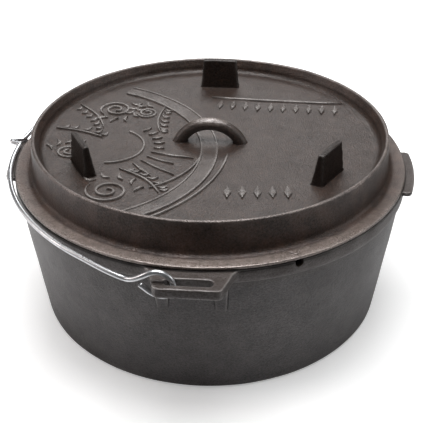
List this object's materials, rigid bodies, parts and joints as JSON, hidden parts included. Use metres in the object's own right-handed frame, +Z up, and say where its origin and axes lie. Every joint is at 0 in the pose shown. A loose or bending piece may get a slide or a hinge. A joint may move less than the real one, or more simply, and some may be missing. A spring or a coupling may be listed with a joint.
{
  "type": "dutch oven",
  "caption": "Flat-bottomed cast iron dutch oven with slotted ears, a tray-shaped lid on legs with a loop handle, and a folding wire bail.",
  "frame": {"origin": "centre of the flat underside, on the surface the pot stands on", "axes": "+Z up; the two slotted ears lie on +Y and -Y; the lid handle lies along X, with the two side tabs 4 degrees in front of it; the bail rests towards -X"},
  "size_m": [0.3801, 0.404, 0.182],
  "materials": {
    "pot_iron": "seasoned, satin, fine sand-cast grain",
    "lid_iron": "seasoned, satin, fine sand-cast grain with a warm brown tint",
    "bail_wire": "bright zinc-plated drawn wire"
  },
  "bodies": {
    "pot_body": {"pot": "pot_iron"},
    "lid_body": {"lid": "lid_iron"},
    "bail_body": {"bail": "bail_wire"}
  },
  "joints": [
    {"name": "lid_lift", "type": "slide", "parent": "pot_body", "child": "lid_body", "axis": [0, 0, 1], "range_m": [0, 0.02]},
    {"name": "bail_hinge", "type": "hinge", "parent": "pot_body", "child": "bail_body", "pos_m": [-0.0237, 0, 0.1302], "axis": [0, 1, 0], "range_deg": [0, 105]}
  ]
}
